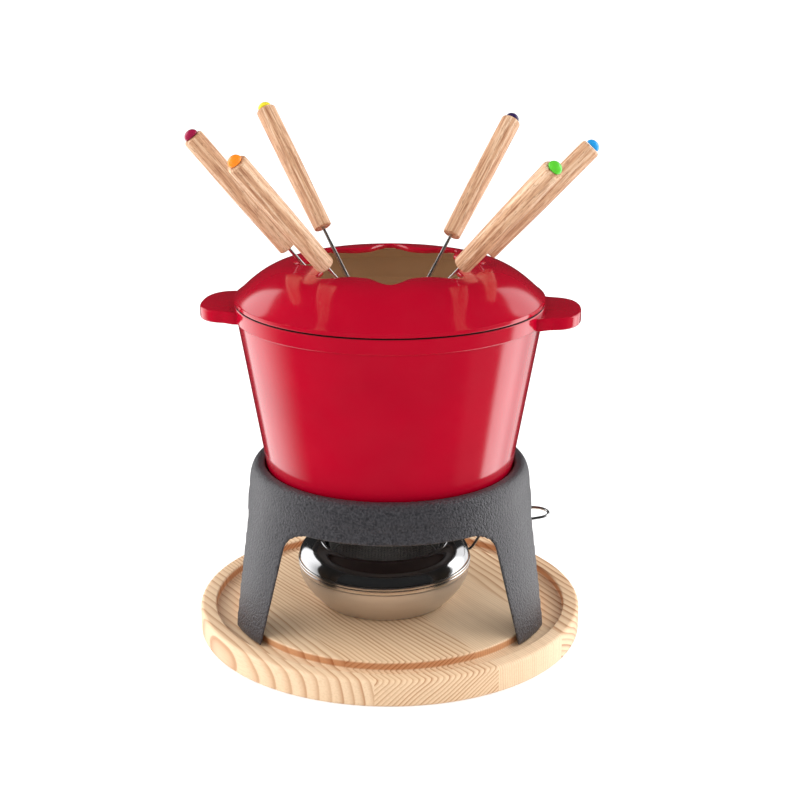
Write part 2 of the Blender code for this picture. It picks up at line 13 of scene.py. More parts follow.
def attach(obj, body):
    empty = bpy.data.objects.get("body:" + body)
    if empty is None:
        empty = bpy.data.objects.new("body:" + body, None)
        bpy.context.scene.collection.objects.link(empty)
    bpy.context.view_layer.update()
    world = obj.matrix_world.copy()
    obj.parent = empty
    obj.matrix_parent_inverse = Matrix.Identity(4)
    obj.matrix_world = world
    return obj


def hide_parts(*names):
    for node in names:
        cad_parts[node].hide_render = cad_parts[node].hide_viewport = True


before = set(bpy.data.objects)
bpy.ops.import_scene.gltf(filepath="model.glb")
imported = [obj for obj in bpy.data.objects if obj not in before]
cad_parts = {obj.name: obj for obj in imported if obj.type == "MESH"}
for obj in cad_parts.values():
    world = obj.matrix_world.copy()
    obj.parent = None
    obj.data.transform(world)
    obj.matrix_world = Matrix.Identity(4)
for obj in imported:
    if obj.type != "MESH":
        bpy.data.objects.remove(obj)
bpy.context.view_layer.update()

MM = 0.001
GAP = 0.3 * MM
SEGMENTS = 192
FORK_SEGMENTS = 48
SHARP_ANGLE = math.radians(38.0)

# Sizes shared with the frame
BOARD_RADIUS = 130.0 * MM
BOARD_TOP = 17.7 * MM
GROOVE_OUTER = 119.4 * MM
GROOVE_INNER = 104.0 * MM
GROOVE_FLOOR = 11.8 * MM
STAND_FOOT_RADIUS = 109.8 * MM
STAND_FLARE = 0.1704
STAND_WALL = 4.6 * MM
STAND_TOP = 118.2 * MM
STAND_SEAT = 107.7 * MM
STAND_SEAT_RADIUS = 66.0 * MM
STAND_SEAT_THICKNESS = 5.5 * MM
STAND_MOUTH = 83.9 * MM
STAND_RIM = 87.4 * MM
STAND_SHOULDER = 17.0 * MM
ARCH_HALF_WIDTH = 84.0 * MM
ARCH_LEAN = 0.235
ARCH_TOP = 92.5 * MM
ARCH_CORNER = 17.0 * MM
POT_BOTTOM = 108.0 * MM
POT_SEAM = 227.4 * MM
COLLAR_RADIUS = 101.4 * MM
COLLAR_HEIGHT = 10.0 * MM
SHOULDER_RADIUS = 99.9 * MM
POT_TAPER = 0.1715
POT_WALL = 4.2 * MM
POT_FLOOR = 5.0 * MM
POT_RIM_INNER = 93.8 * MM
EAR_REACH = 124.6 * MM
EAR_ROOT = 99.0 * MM
EAR_HALF_WIDTH = 30.0 * MM
EAR_THICKNESS = 8.0 * MM
EAR_TOP = POT_SEAM - 2.8 * MM
POT_TURN = math.radians(-5.0)
RING_BOTTOM = POT_SEAM + GAP
RING_EDGE_TOP = 230.7 * MM
RING_LIP = 252.5 * MM
RING_THICKNESS = 3.8 * MM
RING_CREST = 47.4 * MM
RING_NOTCH = 13.6 * MM
RING_NOTCHES = 8
RING_NOTCH_POWER = 1.7
SPIGOT_OUTER = 93.2 * MM
SPIGOT_INNER = 90.2 * MM
SPIGOT_DEPTH = 3.0 * MM
FORK_LENGTH = 285.0 * MM
HANDLE_LENGTH = 94.0 * MM
HANDLE_RADIUS = 6.7 * MM
HANDLE_END_RADIUS = 6.1 * MM
SHAFT_RADIUS = 1.5 * MM
SHAFT_NECK = 34.0 * MM
TANG_RADIUS = 1.1 * MM
TINE_RADIUS = 0.8 * MM
TINE_SPREAD = 2.3 * MM
TINE_LENGTH = 38.0 * MM
BEAD_RADIUS = 4.6 * MM
BEAD_HEIGHT = 4.2 * MM
# name, top azimuth, top radius, top height, lean azimuth, lean, roll, bead colour
FORKS = [
    ("yellow", 134.6, 121.7 * MM, 340.8 * MM, 135.2, 37.4, -15.0, (0.84, 0.72, 0.03)),
    ("crimson", 187.7, 124.5 * MM, 335.8 * MM, 192.5, 39.1, 15.0, (0.33, 0.004, 0.05)),
    ("orange", 222.5, 122.4 * MM, 329.7 * MM, 217.2, 42.1, 30.0, (1.00, 0.26, 0.01)),
    ("purple", 46.3, 121.4 * MM, 333.2 * MM, 45.7, 40.3, 15.0, (0.035, 0.017, 0.09)),
    ("blue", 0.0, 128.3 * MM, 327.0 * MM, 1.7, 44.1, 4.0, (0.01, 0.30, 0.70)),
    ("green", 316.9, 130.8 * MM, 327.1 * MM, 319.4, 44.9, -15.0, (0.10, 0.58, 0.03)),
]
BURNER = Vector((-3.7 * MM, 0.9 * MM, BOARD_TOP + GAP))
SHEET = 1.2 * MM
BOWL_FOOT = 44.0 * MM
BOWL_RADIUS = 58.4 * MM
BOWL_HEIGHT = 24.0 * MM
BAND_HEIGHT = 5.6 * MM
BAND_OUT = 0.6 * MM
COVER_RIM = 44.0 * MM
COVER_TOP = 42.3 * MM
COVER_OPENING = 41.2 * MM
COVER_NECK = 4.5 * MM
CUP_RADIUS = 38.0 * MM
CUP_HEIGHT = 37.0 * MM
CUP_WALL = 1.0 * MM
WADDING_TOP = 29.0 * MM
GAUZE_BOTTOM = WADDING_TOP + GAP
GAUZE_THICKNESS = 1.0 * MM
LOOP_AZIMUTH = math.radians(23.5)
LOOP_REACH = 127.5 * MM
LOOP_HALF_WIDTH = 10.2 * MM
LOOP_RISE = 42.0 * MM
LOOP_BEND = 15.0 * MM
WIRE_RADIUS = 1.0 * MM

# View
CAMERA_PLACE = (0.0, -1.008, 0.4711)
CAMERA_DIP = math.radians(17.22)
CAMERA_LENS = 71.2
CAMERA_SENSOR = 36.0
CAMERA_SHIFT = 0.01275

# Floor and light
FLOOR_HALF = 60.0
FLOOR_WHITE = (0.72, 0.72, 0.72, 1.0)
FLOOR_GLOW = 0.36
INNER_LAMP_PLACE = (0.0, -20.0 * MM, 165.0 * MM)
INNER_LAMP_RADIUS = 30.0 * MM
INNER_LAMP_POWER = 0.14
SIDE_LAMP_WIDTH = 2.0
SIDE_LAMP_HEIGHT = 0.9
# name, place, target, power
SIDE_LAMPS = [
    ("left_box", (-1.15, 0.25, 0.55), (0.0, 0.25, 0.30), 12.0),
    ("right_box", (1.15, 0.35, 0.55), (0.0, 0.35, 0.30), 10.0),
]
AMBIENT = 0.12
MIRRORED = 0.025


# ---- Shapes ----

def arc(centre, radius, start, end, steps):
    """Points of an arc from start to end in degrees."""
    points = []
    for i in range(steps + 1):
        angle = math.radians(start + (end - start) * i / steps)
        points.append((centre[0] + radius * math.cos(angle), centre[1] + radius * math.sin(angle)))
    return points


def rounded(corners, steps=6, closed=False):
    """A profile from (radius, height, rounding) corners, each corner with a rounding drawn as an arc."""
    count = len(corners)
    points = []
    for i, (x, y, rounding) in enumerate(corners):
        here = Vector((x, y))
        if rounding == 0.0 or (not closed and i in (0, count - 1)):
            points.append((x, y))
            continue
        before = (Vector(corners[i - 1][:2]) - here).normalized()
        after = (Vector(corners[(i + 1) % count][:2]) - here).normalized()
        half = before.angle(after) / 2
        if half > math.radians(89.5):
            points.append((x, y))
            continue
        reach = rounding / math.tan(half)
        centre = here + (before + after).normalized() * (rounding / math.sin(half))
        first = here + before * reach - centre
        last = here + after * reach - centre
        for k in range(steps + 1):
            turned_by = first.angle_signed(last) * k / steps
            spoke = first.copy()
            spoke.rotate(Matrix.Rotation(-turned_by, 2))
            points.append((centre.x + spoke.x, centre.y + spoke.y))
    return points


def finished(shape, name):
    """A smooth-shaded mesh object out of a bmesh, its faces turned outwards."""
    bmesh.ops.remove_doubles(shape, verts=shape.verts, dist=0.000002)
    bmesh.ops.recalc_face_normals(shape, faces=shape.faces)
    mesh = bpy.data.meshes.new(name)
    shape.to_mesh(mesh)
    shape.free()
    mesh.shade_smooth()
    mesh.set_sharp_from_angle(angle=SHARP_ANGLE)
    item = bpy.data.objects.new(name, mesh)
    bpy.context.scene.collection.objects.link(item)
    return item


def skin(shape, rings, closed=False, around=True):
    """Faces between rings of corners, each ring a list of vertices or one vertex for a pole."""
    pairs = list(zip(rings, rings[1:]))
    if closed:
        pairs.append((rings[-1], rings[0]))
    for lower, upper in pairs:
        count = max(len(lower), len(upper))
        for k in range(count if around else count - 1):
            after = (k + 1) % count
            corners = [lower[k % len(lower)], lower[after % len(lower)]]
            corners += [upper[after % len(upper)], upper[k % len(upper)]]
            shape.faces.new(list(dict.fromkeys(corners)))


def lathe(name, profile, segments=SEGMENTS, closed=False):
    """A body turned about its own Z from (radius, height) points."""
    shape = bmesh.new()
    rings = []
    for radius, height in profile:
        if radius == 0.0:
            rings.append([shape.verts.new((0.0, 0.0, height))])
            continue
        ring = []
        for k in range(segments):
            angle = 2.0 * math.pi * k / segments
            ring.append(shape.verts.new((radius * math.cos(angle), radius * math.sin(angle), height)))
        rings.append(ring)
    skin(shape, rings, closed)
    return finished(shape, name)


def tube(name, path, radii, sides=12, loop=False):
    """A round bar along a path, its ends closed."""
    shape = bmesh.new()
    rings = []
    across = None
    count = len(path)
    for i, place in enumerate(path):
        before = path[i - 1] if i > 0 or loop else place
        after = path[(i + 1) % count] if i < count - 1 or loop else place
        along = (Vector(after) - Vector(before)).normalized()
        if across is None:
            across = along.orthogonal().normalized()
        across = (across - along * across.dot(along)).normalized()
        other = along.cross(across)
        ring = []
        for k in range(sides):
            angle = 2.0 * math.pi * k / sides
            spoke = across * math.cos(angle) + other * math.sin(angle)
            ring.append(shape.verts.new(Vector(place) + spoke * radii[i]))
        rings.append(ring)
    if not loop:
        rings.insert(0, [shape.verts.new(path[0])])
        rings.append([shape.verts.new(path[-1])])
    skin(shape, rings, loop)
    return finished(shape, name)


def prism(name, outline, half_depth):
    """A plate in its own XY plane, thickened both ways."""
    shape = bmesh.new()
    levels = []
    for height in (-half_depth, half_depth):
        levels.append([shape.verts.new((x, y, height)) for x, y in outline])
    skin(shape, levels)
    shape.faces.new(levels[0][::-1])
    shape.faces.new(levels[1])
    return finished(shape, name)


def apply_modifiers(item):
    """Keep the result of the modifiers, and remove the objects that cut or joined."""
    view = bpy.context.evaluated_depsgraph_get()
    mesh = bpy.data.meshes.new_from_object(item.evaluated_get(view))
    tools = [modifier.object for modifier in item.modifiers if modifier.type == "BOOLEAN"]
    item.modifiers.clear()
    item.data = mesh
    for tool in tools:
        bpy.data.objects.remove(tool)


def combine(item, tool, operation):
    """Cut the tool out of the item, or join it on, once the modifiers are applied."""
    modifier = item.modifiers.new(operation, "BOOLEAN")
    modifier.operation = operation
    modifier.solver = "EXACT"
    modifier.object = tool


def piece(item, body, slot, surfaces, *nodes):
    """The object stands for its CAD nodes, with these surfaces, and moves with its body."""
    for surface in surfaces:
        item.data.materials.append(surface)
    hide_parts(*nodes)
    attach(item, body)
    return item


# ---- Materials ----

def feed(tree, socket, value):
    """Link the socket when the value comes out of a node, and set it otherwise."""
    if isinstance(value, bpy.types.NodeSocket):
        tree.links.new(value, socket)
    else:
        socket.default_value = value


class Surface:
    """A node material. Each call adds a node and gives back its first output."""

    def __init__(self, name, roughness, metallic=0.0, coat=0.0, coat_roughness=0.03, specular=0.5):
        self.material = bpy.data.materials.new(name)
        self.material.use_nodes = True
        self.tree = self.material.node_tree
        self.shader = self.tree.nodes["Principled BSDF"]
        self.set("Roughness", roughness)
        self.set("Metallic", metallic)
        self.set("Coat Weight", coat)
        self.set("Coat Roughness", coat_roughness)
        self.set("Specular IOR Level", specular)
        self.place = self.tree.nodes.new("ShaderNodeTexCoord").outputs["Object"]

    def set(self, socket, value):
        feed(self.tree, self.shader.inputs[socket], value)

    def node(self, kind, inputs, output=0, **settings):
        made = self.tree.nodes.new("ShaderNode" + kind)
        for key, value in settings.items():
            setattr(made, key, value)
        for key, value in inputs.items():
            feed(self.tree, made.inputs[key], value)
        return made.outputs[output]

    def math(self, operation, first, second=0.0, third=0.0):
        return self.node("Math", {0: first, 1: second, 2: third}, operation=operation)

    def dot(self, direction):
        return self.node("VectorMath", {0: self.place, 1: direction}, "Value", operation="DOT_PRODUCT")

    def out(self):
        """The distance from the piece's own Z axis."""
        flat = self.node("VectorMath", {0: self.place, 1: (1.0, 1.0, 0.0)}, operation="MULTIPLY")
        return self.node("VectorMath", {0: flat}, "Value", operation="LENGTH")

    def stretched(self, scale, offset=(0.0, 0.0, 0.0)):
        return self.node("Mapping", {"Vector": self.place, "Scale": scale, "Location": offset})

    def noise(self, scale, detail=3.0, roughness=0.5, vector=None):
        inputs = {"Vector": vector or self.place, "Scale": scale, "Detail": detail, "Roughness": roughness}
        return self.node("TexNoise", inputs)

    def ramp(self, value, stops, interpolation="LINEAR"):
        made = self.tree.nodes.new("ShaderNodeValToRGB")
        made.color_ramp.interpolation = interpolation
        elements = made.color_ramp.elements
        while len(elements) > 1:
            elements.remove(elements[-1])
        for i, (position, colour) in enumerate(stops):
            element = elements[0] if i == 0 else elements.new(position)
            element.position = position
            if isinstance(colour, float):
                colour = (colour, colour, colour)
            element.color = (*colour, 1.0)
        self.tree.links.new(value, made.inputs[0])
        return made.outputs[0]

    def mix(self, factor, first, second, blend="MIX"):
        made = self.tree.nodes.new("ShaderNodeMix")
        made.data_type = "RGBA"
        made.blend_type = blend
        for socket, value in ((made.inputs[0], factor), (made.inputs[6], first), (made.inputs[7], second)):
            feed(self.tree, socket, (*value, 1.0) if isinstance(value, tuple) else value)
        return made.outputs[2]

    def bump(self, height, distance, strength=1.0, under=None):
        inputs = {"Height": height, "Distance": distance, "Strength": strength}
        if under is not None:
            inputs["Normal"] = under
        normal = self.node("Bump", inputs)
        self.set("Normal", normal)
        return normal

    def lerp(self, factor, low, high):
        return self.node("MapRange", {"Value": factor, "To Min": low, "To Max": high})


def pine():
    """Glued staves of pine. Each stave's growth rings are cylinders round a pith of its own."""
    made = Surface("pine", 0.5)
    heading = math.radians(-57.8)
    along = made.dot((math.cos(heading), math.sin(heading), 0.0))
    across = made.dot((-math.sin(heading), math.cos(heading), 0.0))
    height = made.dot((0.0, 0.0, 1.0))
    # Where each stave starts, where its pith lies across and in height, its ring spacing, tone and contrast
    staves = [
        (-0.130, -0.165, 0.004, 5.2 * MM, 0.60, 0.62),
        (-0.0775, 0.095, -0.135, 2.25 * MM, 0.42, 0.80),
        (-0.0016, 0.330, 0.030, 1.9 * MM, 0.62, 0.34),
        (0.060, 0.030, -0.050, 3.7 * MM, 0.30, 0.95),
    ]
    width = 0.260
    centre_span = 1.0
    height_span = 0.4
    spacing_span = 0.01
    share = made.math("MULTIPLY_ADD", across, 1.0 / width, 0.5)
    shape_stops = []
    look_stops = []
    for start, pith_across, pith_height, spacing, tone, contrast in staves:
        position = start / width + 0.5
        colour = (pith_across / centre_span + 0.5, pith_height / height_span + 0.5, spacing / spacing_span)
        shape_stops.append((position, colour))
        look_stops.append((position, (tone, contrast, position)))
    separate = made.tree.nodes.new("ShaderNodeSeparateColor")
    made.tree.links.new(made.ramp(share, shape_stops, "CONSTANT"), separate.inputs[0])
    look = made.tree.nodes.new("ShaderNodeSeparateColor")
    made.tree.links.new(made.ramp(share, look_stops, "CONSTANT"), look.inputs[0])
    wander = made.noise(1.0, 2.0, 0.5, made.stretched((14.0, 14.0, 14.0)))
    wobble = made.math("MULTIPLY_ADD", wander, 7.0 * MM, -3.5 * MM)
    pith_across = made.math("MULTIPLY_ADD", separate.outputs[0], centre_span, -centre_span / 2)
    pith_height = made.math("MULTIPLY_ADD", separate.outputs[1], height_span, -height_span / 2)
    tilted = made.math("MULTIPLY_ADD", along, 0.05, made.math("SUBTRACT", height, pith_height))
    sideways = made.math("ADD", made.math("SUBTRACT", across, pith_across), wobble)
    squares = made.math("MULTIPLY_ADD", tilted, tilted, made.math("MULTIPLY", sideways, sideways))
    radius = made.math("SQRT", squares)
    phase = made.math("DIVIDE", radius, made.math("MULTIPLY", separate.outputs[2], spacing_span))
    ring = made.math("FRACT", phase)
    year = made.node("TexWhiteNoise", {"W": made.math("FLOOR", phase)}, "Value", noise_dimensions="1D")
    late = made.ramp(ring, [
        (0.0, 0.12), (0.12, 0.0), (0.45, 0.10), (0.74, 0.55), (0.88, 1.0), (0.96, 0.9), (1.0, 0.12),
    ])
    strength = made.math("MULTIPLY", look.outputs[1], made.lerp(year, 0.45, 1.0))
    fibres = made.noise(1.0, 4.0, 0.65, made.node(
        "CombineXYZ", {0: made.math("MULTIPLY", along, 22.0), 1: made.math("MULTIPLY", across, 900.0),
                       2: made.math("MULTIPLY", height, 900.0)}))
    amount = made.math("MULTIPLY", made.math("MULTIPLY", late, strength), made.lerp(fibres, 0.95, 1.65))
    amount = made.math("MINIMUM", amount, 1.0)
    pale = made.mix(look.outputs[0], (0.78, 0.55, 0.34), (0.86, 0.67, 0.47))
    brown = made.mix(look.outputs[0], (0.38, 0.145, 0.05), (0.50, 0.235, 0.095))
    wood = made.mix(amount, pale, brown)
    streaks = made.ramp(fibres, [(0.30, (0.80, 0.76, 0.70)), (0.55, 1.0), (0.85, (1.04, 1.02, 1.0))])
    wood = made.mix(0.55, wood, streaks, "MULTIPLY")
    blotch = made.ramp(made.noise(11.0, 2.0), [(0.3, (0.93, 0.88, 0.82)), (0.7, (1.03, 1.02, 1.0))])
    wood = made.mix(0.7, wood, blotch, "MULTIPLY")
    # The groove's two walls are painted browner than the flat wood: partly their end grain, partly painted
    # shade in the groove
    beside = made.math("ABSOLUTE", made.math("SUBTRACT", made.out(), (GROOVE_INNER + GROOVE_OUTER) / 2))
    within = made.math("LESS_THAN", beside, (GROOVE_OUTER - GROOVE_INNER) / 2 + 0.3 * MM)
    below = made.node("MapRange", {"Value": height, "From Min": BOARD_TOP - 0.6 * MM,
                                   "From Max": BOARD_TOP - 1.6 * MM})
    above = made.node("MapRange", {"Value": height, "From Min": GROOVE_FLOOR + 0.2 * MM,
                                   "From Max": GROOVE_FLOOR + 1.2 * MM})
    wall = made.math("MULTIPLY", within, made.math("MULTIPLY", below, above))
    wood = made.mix(wall, wood, made.mix(1.0, wood, (0.78, 0.54, 0.40), "MULTIPLY"))
    made.set("Base Color", wood)
    made.set("Roughness", made.lerp(made.math("MULTIPLY_ADD", amount, -0.5, fibres), 0.42, 0.60))
    made.bump(made.math("MULTIPLY_ADD", amount, 0.6, fibres), 0.10 * MM, 0.5)
    return made.material


def handle_wood(seed):
    """Pale hardwood with long grain and short dark pores. The grain runs along the handle."""
    made = Surface(f"handle_wood_{seed + 1}", 0.46)
    offset = (0.37 * seed, 0.61 * seed, 0.23 * seed)
    grain = made.noise(1.0, 4.0, 0.6, made.stretched((420.0, 420.0, 16.0), offset))
    fine = made.noise(1.0, 3.0, 0.6, made.stretched((1100.0, 1100.0, 75.0), offset))
    pores = made.noise(1.0, 2.0, 0.7, made.stretched((1700.0, 1700.0, 230.0), offset))
    broad = made.noise(1.0, 1.0, 0.5, made.stretched((60.0, 60.0, 9.0), offset))
    base = made.ramp(grain, [
        (0.34, (0.43, 0.20, 0.10)), (0.48, (0.64, 0.38, 0.22)), (0.62, (0.80, 0.57, 0.39)),
    ])
    base = made.mix(0.6, base, made.ramp(broad, [(0.3, (0.80, 0.68, 0.58)), (0.7, 1.0)]), "MULTIPLY")
    base = made.mix(0.75, base, made.ramp(fine, [(0.36, (0.56, 0.40, 0.31)), (0.52, 1.0)]), "MULTIPLY")
    mask = made.ramp(pores, [(0.0, 1.0), (0.33, 0.9), (0.40, 0.0)])
    made.set("Base Color", made.mix(made.math("MULTIPLY", mask, 0.75), base, (0.22, 0.10, 0.04)))
    made.set("Roughness", made.lerp(fine, 0.38, 0.58))
    made.bump(made.math("SUBTRACT", fine, mask), 0.08 * MM, 0.6)
    return made.material


def cast_iron():
    """Matte black sand casting: fine pebbled skin, with larger soft unevenness under it."""
    made = Surface("cast_iron", 0.5, specular=1.0)
    coarse = made.noise(120.0, 2.0)
    grit = made.ramp(made.noise(760.0, 3.0, 0.6), [(0.36, 0.0), (0.64, 1.0)])
    pebbles = made.node("TexVoronoi", {"Vector": made.place, "Scale": 640.0, "Smoothness": 0.7},
                        feature="SMOOTH_F1")
    iron = made.mix(grit, (0.020, 0.019, 0.023), (0.062, 0.059, 0.068))
    # Painted shade: the edges of the arches and the inside, below the arch tops, are painted blacker than the
    # outer skin, as shade under the pot
    height = made.dot((0.0, 0.0, 1.0))
    wall = made.math("MULTIPLY_ADD", height, -STAND_FLARE, STAND_FOOT_RADIUS + STAND_FLARE * GROOVE_FLOOR)
    inside_shade = made.node("MapRange", {"Value": made.math("SUBTRACT", wall, made.out()), "From Min": 0.6 * MM,
                                   "From Max": 1.8 * MM})
    low = made.math("LESS_THAN", height, ARCH_TOP + 1.0 * MM)
    made.set("Base Color", made.mix(made.math("MULTIPLY", inside_shade, low), iron, (0.010, 0.0095, 0.011)))
    made.set("Roughness", made.lerp(grit, 0.32, 0.50))
    relief = made.math("MULTIPLY_ADD", pebbles, -0.9, made.math("MULTIPLY", grit, 0.6))
    under = made.bump(coarse, 0.9 * MM, 0.2)
    made.bump(relief, 0.5 * MM, 0.8, under)
    return made.material


def enamel(name, colour, dark, spots=()):
    """Vitreous enamel: thick glossy coat over slightly uneven iron."""
    made = Surface(name, 0.13, coat=0.3, coat_roughness=0.04)
    cloud = made.noise(22.0, 3.0)
    grain = made.noise(420.0, 2.0)
    base = made.mix(made.lerp(cloud, -0.2, 1.0), colour, dark)
    for spot, radius in spots:
        reach = made.node("VectorMath", {0: made.place, 1: spot}, "Value", operation="DISTANCE")
        chip = made.math("ADD", reach, made.math("MULTIPLY", grain, radius * 0.5))
        inside = made.node("MapRange", {"Value": chip, "From Min": radius * 0.9, "From Max": radius * 1.3,
                                        "To Min": 1.0, "To Max": 0.0})
        base = made.mix(inside, base, (0.03, 0.004, 0.005))
    made.set("Base Color", base)
    made.set("Roughness", made.lerp(made.noise(60.0, 3.0), 0.09, 0.20))
    under = made.bump(made.noise(38.0, 1.0), 0.8 * MM, 0.12)
    made.bump(grain, 0.05 * MM, 0.25, under)
    return made.material


def seam_shade_and_black_base():
    """Matt black: painted shade of the gap where pot and ring meet, laid on their rounded edges; the pot's
    underside is matt black too.
    """
    made = Surface("seam_shade_and_black_base", 0.6)
    grit = made.noise(1400.0, 3.0)
    made.set("Base Color", made.mix(grit, (0.012, 0.004, 0.005), (0.035, 0.016, 0.016)))
    made.set("Roughness", made.lerp(grit, 0.5, 0.75))
    made.bump(grit, 0.1 * MM, 0.5)
    return made.material


def bead(name, colour):
    """Glossy moulded bead, its colour a little uneven."""
    made = Surface(f"bead_{name}", 0.24, coat=0.2)
    cloud = made.noise(260.0, 2.0)
    darker = tuple(0.72 * c for c in colour)
    made.set("Base Color", made.mix(made.lerp(cloud, -0.2, 0.8), colour, darker))
    made.set("Roughness", made.lerp(cloud, 0.16, 0.34))
    made.bump(cloud, 0.03 * MM, 0.2)
    return made.material


def spun(name, colour, roughness, lines, relief, brushed=0.0):
    """Metal turned about its own Z: fine lines round the axis, which draw highlights out across them."""
    made = Surface(name, roughness, 1.0)
    made.set("Anisotropic", brushed)
    made.set("Tangent", made.node("Tangent", {}, direction_type="RADIAL", axis="Z"))
    height = made.dot((0.0, 0.0, 1.0))
    track = made.node("CombineXYZ", {0: made.math("MULTIPLY", made.out(), lines),
                                     1: made.math("MULTIPLY", height, lines)})
    cut = made.noise(1.0, 4.0, 0.7, track)
    smear = made.noise(55.0, 3.0)
    made.set("Base Color", made.mix(cut, tuple(0.82 * c for c in colour), colour))
    made.set("Roughness", made.lerp(made.math("MULTIPLY_ADD", smear, 0.5, made.math("MULTIPLY", cut, 0.5)),
                                    roughness * 0.6, roughness * 1.4))
    made.bump(cut, relief, 0.5)
    return made.material


def drawn(name, colour, roughness):
    """Bright wire: fine scratches along its own Z."""
    made = Surface(name, roughness, 1.0)
    scratch = made.noise(1.0, 3.0, 0.6, made.stretched((2600.0, 2600.0, 90.0)))
    made.set("Base Color", made.mix(scratch, tuple(0.75 * c for c in colour), colour))
    made.set("Roughness", made.lerp(scratch, roughness * 0.6, roughness * 1.5))
    made.bump(scratch, 0.02 * MM, 0.4)
    return made.material


def wadding():
    made = Surface("wadding", 0.95)
    fluff = made.noise(700.0, 6.0, 0.7)
    clumps = made.noise(90.0, 3.0)
    made.set("Base Color", made.mix(fluff, (0.55, 0.53, 0.49), (0.86, 0.85, 0.82)))
    under = made.bump(clumps, 2.0 * MM, 0.5)
    made.bump(fluff, 0.5 * MM, 0.8, under)
    return made.material


RED = (0.43, 0.0, 0.016)
RED_DARK = (0.34, 0.0, 0.013)
BEIGE = (0.50, 0.33, 0.19)
BEIGE_DARK = (0.42, 0.27, 0.155)


# ---- Board ----

def make_board():
    profile = rounded([
        (0.0, BOARD_TOP, 0.0),
        (GROOVE_INNER, BOARD_TOP, 0.9 * MM),
        (GROOVE_INNER, GROOVE_FLOOR, 0.8 * MM),
        (GROOVE_OUTER, GROOVE_FLOOR, 0.8 * MM),
        (GROOVE_OUTER, BOARD_TOP, 0.9 * MM),
        (BOARD_RADIUS, BOARD_TOP, 2.6 * MM),
        (BOARD_RADIUS, 0.0, 1.8 * MM),
        (0.0, 0.0, 0.0),
    ])
    piece(lathe("board_turned", profile, 256), "board", "pine", [pine()], "base_board")


# ---- Stand ----

def stand_wall(height):
    return STAND_FOOT_RADIUS - STAND_FLARE * (height - GROOVE_FLOOR)


def arch_outline():
    """The opening between two legs, from below the feet."""
    foot = GROOVE_FLOOR - 8.0 * MM

    def half_width(height):
        return ARCH_HALF_WIDTH - ARCH_LEAN * (height - GROOVE_FLOOR)

    lean = math.degrees(math.atan(ARCH_LEAN))
    corner_height = ARCH_TOP - ARCH_CORNER
    centre = (half_width(corner_height) - ARCH_CORNER / math.cos(math.radians(lean)), corner_height)
    right = [(half_width(foot), foot)] + arc(centre, ARCH_CORNER, lean, 90.0, 14)
    return right + [(-x, y) for x, y in reversed(right)]


def make_stand():
    foot = GROOVE_FLOOR + GAP
    shoulder = STAND_TOP - STAND_SHOULDER
    bulge = stand_wall(shoulder) - STAND_RIM
    profile = [(STAND_MOUTH, STAND_TOP)]
    steps = 14
    for i in range(steps):
        angle = math.radians(90.0 * i / steps)
        out = math.sin(angle) ** 0.8 if i else 0.0
        profile.append((STAND_RIM + bulge * out, shoulder + STAND_SHOULDER * math.cos(angle) ** 0.9))
    profile.append((stand_wall(shoulder), shoulder))
    profile += [(STAND_FOOT_RADIUS, foot), (STAND_FOOT_RADIUS - STAND_WALL, foot)]
    under_seat = STAND_SEAT - STAND_SEAT_THICKNESS
    profile.append((stand_wall(under_seat) - STAND_WALL, under_seat))
    profile += [(STAND_SEAT_RADIUS, under_seat), (STAND_SEAT_RADIUS, STAND_SEAT), (STAND_MOUTH, STAND_SEAT)]
    stand = lathe("stand_casting", profile, SEGMENTS, closed=True)
    for i in range(3):
        azimuth = math.radians(90.0 + (i + 0.5) * 120.0)
        outwards = Vector((math.cos(azimuth), math.sin(azimuth), 0.0))
        sideways = Vector((-math.sin(azimuth), math.cos(azimuth), 0.0))
        cutter = prism(f"arch_{i + 1}", arch_outline(), 42.0 * MM)
        turn = Matrix((sideways, Vector((0.0, 0.0, 1.0)), outwards)).transposed()
        cutter.matrix_world = Matrix.Translation(outwards * 98.0 * MM) @ turn.to_4x4()
        combine(stand, cutter, "DIFFERENCE")
    remesh = stand.modifiers.new("Casting", "REMESH")
    remesh.mode = "VOXEL"
    remesh.voxel_size = 1.0 * MM
    remesh.use_smooth_shade = True
    soften = stand.modifiers.new("Soften", "SMOOTH")
    soften.factor = 0.5
    soften.iterations = 8
    bpy.context.view_layer.update()
    apply_modifiers(stand)
    stand.data.shade_smooth()
    piece(stand, "stand", "cast_iron", [cast_iron()], "stand")


# ---- Pot ----

def pot_outer(height):
    return SHOULDER_RADIUS - POT_TAPER * (POT_SEAM - COLLAR_HEIGHT - height)


def pot_inner(height):
    return pot_outer(height) - POT_WALL


def ear_outline():
    """An ear seen from above, pointing along +X, with flared roots."""
    root = COLLAR_RADIUS - 3.6 * MM
    reach = EAR_REACH - EAR_ROOT
    flare = 3.2 * MM
    points = []
    steps = 48
    for i in range(steps + 1):
        angle = math.radians(-90.0 + 180.0 * i / steps)
        across = math.copysign(abs(math.sin(angle)) ** 0.85, math.sin(angle))
        out = math.cos(angle) ** 0.62 if 0 < i < steps else 0.0
        widening = flare * max(0.0, 1.0 - out / 0.34) ** 2
        points.append((EAR_ROOT + reach * out, EAR_HALF_WIDTH * across + math.copysign(widening, across)))
    edge = math.asin(min(1.0, (EAR_HALF_WIDTH + flare) / root))
    for i in range(13):
        angle = edge * (1.0 - 2.0 * i / 12)
        points.append((root * math.cos(angle), root * math.sin(angle)))
    return points


